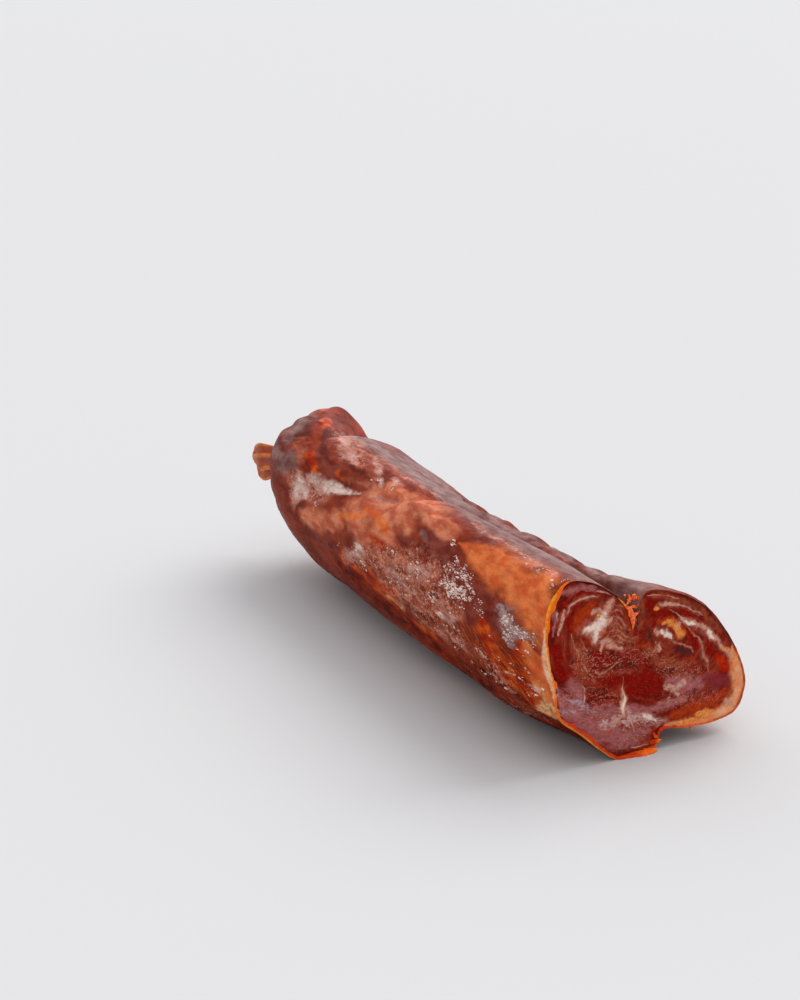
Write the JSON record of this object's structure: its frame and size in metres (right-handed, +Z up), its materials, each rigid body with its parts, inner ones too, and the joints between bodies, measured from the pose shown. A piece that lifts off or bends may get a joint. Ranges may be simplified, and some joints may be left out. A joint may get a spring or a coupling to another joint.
{
  "type": "cured pork loin",
  "caption": "Half of a dry-cured pork loin in its natural casing, cut straight across to show the marbled meat, lying on its side.",
  "frame": {"origin": "on the surface the loin rests on, under the middle of its box", "axes": "+Y along the loin from the cut face towards the closed end, +Z up, +X to the right seen from the cut"},
  "size_m": [0.0698, 0.213, 0.0585],
  "materials": {
    "cured_meat": "dry, slightly glossy natural casing, maroon to orange with pale bloom, over dark red marbled meat"
  },
  "bodies": {
    "root": {"cured_loin": "cured_meat"}
  },
  "joints": []
}
